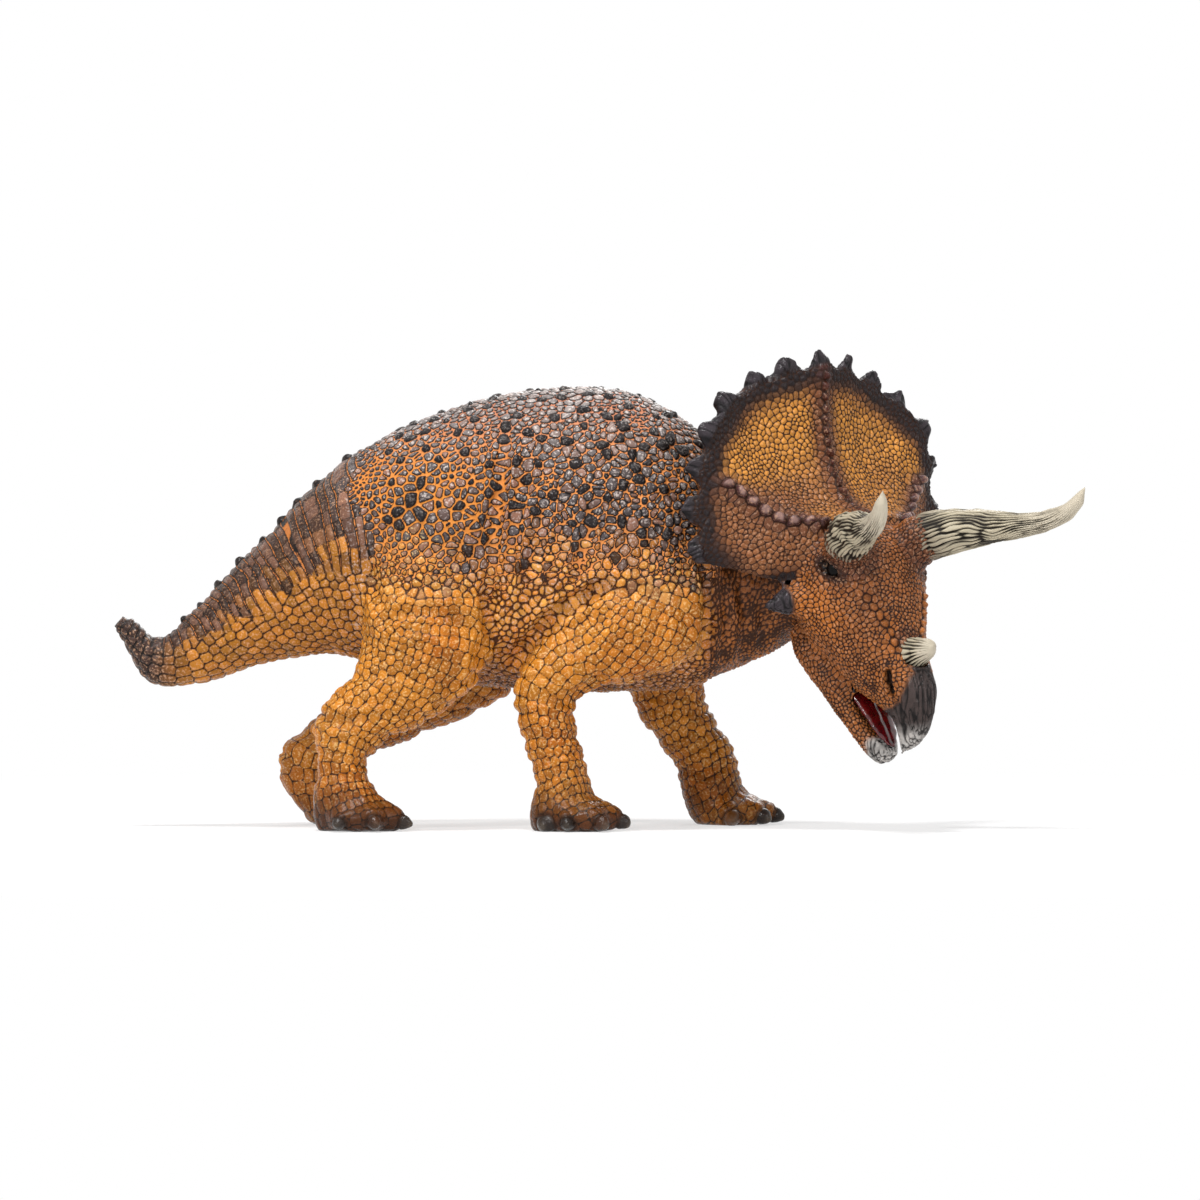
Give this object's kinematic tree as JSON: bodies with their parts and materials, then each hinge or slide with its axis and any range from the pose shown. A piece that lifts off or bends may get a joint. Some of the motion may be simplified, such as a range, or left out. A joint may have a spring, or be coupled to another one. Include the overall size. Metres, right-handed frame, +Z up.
{
  "type": "toy dinosaur figure",
  "caption": "Solid soft-plastic Triceratops figure, walking with its horned, frilled head turned and lowered to its right and its mouth open; stands on its flat soles.",
  "frame": {"origin": "centre of the figure's bounding box, on the floor plane under its soles", "axes": "+X forward, from the tail to the head; +Y to the animal's left; +Z up"},
  "size_m": [0.1744, 0.081, 0.0861],
  "materials": {
    "torso_skin": "semi-gloss paint, charcoal scales over ochre",
    "tail_skin": "semi-gloss paint, ochre scales in dark brown grooves",
    "neck_skin": "semi-gloss paint, brown",
    "head_skin": "semi-gloss paint, reddish sienna",
    "frill_skin": "semi-gloss paint, orange with a dark rim",
    "jaw_skin": "semi-gloss paint, sienna with a grey beak",
    "mouth_red": "gloss",
    "horn_bone": "semi-gloss paint, bone colour with dark streaks",
    "nose_horn_bone": "semi-gloss paint, grey white",
    "eye_black": "gloss",
    "leg_skin": "semi-gloss paint, ochre scales in dark brown grooves"
  },
  "bodies": {
    "root": {"torso": "torso_skin", "tail": "tail_skin", "neck": "neck_skin", "head": "head_skin", "frill": "frill_skin", "lower_jaw": "jaw_skin", "mouth_insert": "mouth_red", "right_brow_horn": "horn_bone", "left_brow_horn": "horn_bone", "nose_horn": "nose_horn_bone", "right_eye": "eye_black", "left_eye": "eye_black", "right_fore_leg": "leg_skin", "left_fore_leg": "leg_skin", "right_hind_leg": "leg_skin", "left_hind_leg": "leg_skin"}
  },
  "joints": []
}
